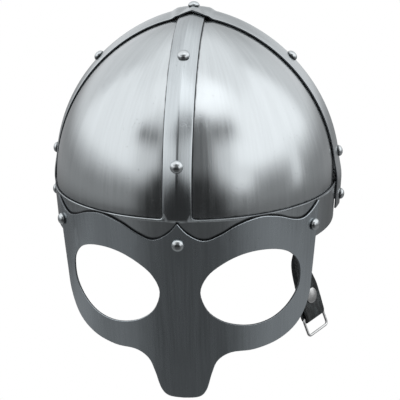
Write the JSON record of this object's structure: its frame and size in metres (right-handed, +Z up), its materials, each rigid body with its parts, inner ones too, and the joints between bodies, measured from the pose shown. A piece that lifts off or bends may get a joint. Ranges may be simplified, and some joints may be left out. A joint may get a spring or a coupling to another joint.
{
  "type": "spangenhelm helmet",
  "caption": "Steel spangenhelm with ridged crossing bands, a riveted spectacle mask with a nasal, and a leather chin strap ending in a wire loop.",
  "frame": {"origin": "centre of the head opening, in the plane of the brow band's lower rim", "axes": "+Z up through the apex, -Y towards the face, +X towards the wearer's left"},
  "size_m": [0.2168, 0.2222, 0.2555],
  "materials": {
    "plate_steel": "satin, brushed up and down",
    "band_steel": "satin, brushed along the band",
    "mask_steel": "satin, a little darker, brushed up and down",
    "rivet_steel": "polished",
    "strap_leather": "black, semi-matte, creased",
    "buckle_steel": "bright plated"
  },
  "bodies": {
    "helmet": {"skull_plate_front_left": "plate_steel", "skull_plate_front_right": "plate_steel", "skull_plate_back_left": "plate_steel", "skull_plate_back_right": "plate_steel", "brow_and_crest_frame": "band_steel", "transverse_band": "band_steel", "face_mask": "mask_steel", "rivet_apex": "rivet_steel", "rivet_crest_front_upper": "rivet_steel", "rivet_crest_front_lower": "rivet_steel", "rivet_crest_back_upper": "rivet_steel", "rivet_crest_back_lower": "rivet_steel", "rivet_band_left_upper": "rivet_steel", "rivet_band_left_middle": "rivet_steel", "rivet_band_left_lower": "rivet_steel", "rivet_band_right_upper": "rivet_steel", "rivet_band_right_middle": "rivet_steel", "rivet_band_right_lower": "rivet_steel", "rivet_mask_centre": "rivet_steel", "rivet_mask_right": "rivet_steel", "rivet_mask_left": "rivet_steel", "chin_strap": "strap_leather", "rivet_strap": "buckle_steel"},
    "buckle": {"buckle_loop": "buckle_steel"}
  },
  "joints": [
    {"name": "buckle_swing", "type": "hinge", "parent": "helmet", "child": "buckle", "pos_m": [0.0862, -0.0452, -0.0612], "axis": [0.6226, 0.7732, 0.1205], "range_deg": [-140, 150]}
  ]
}
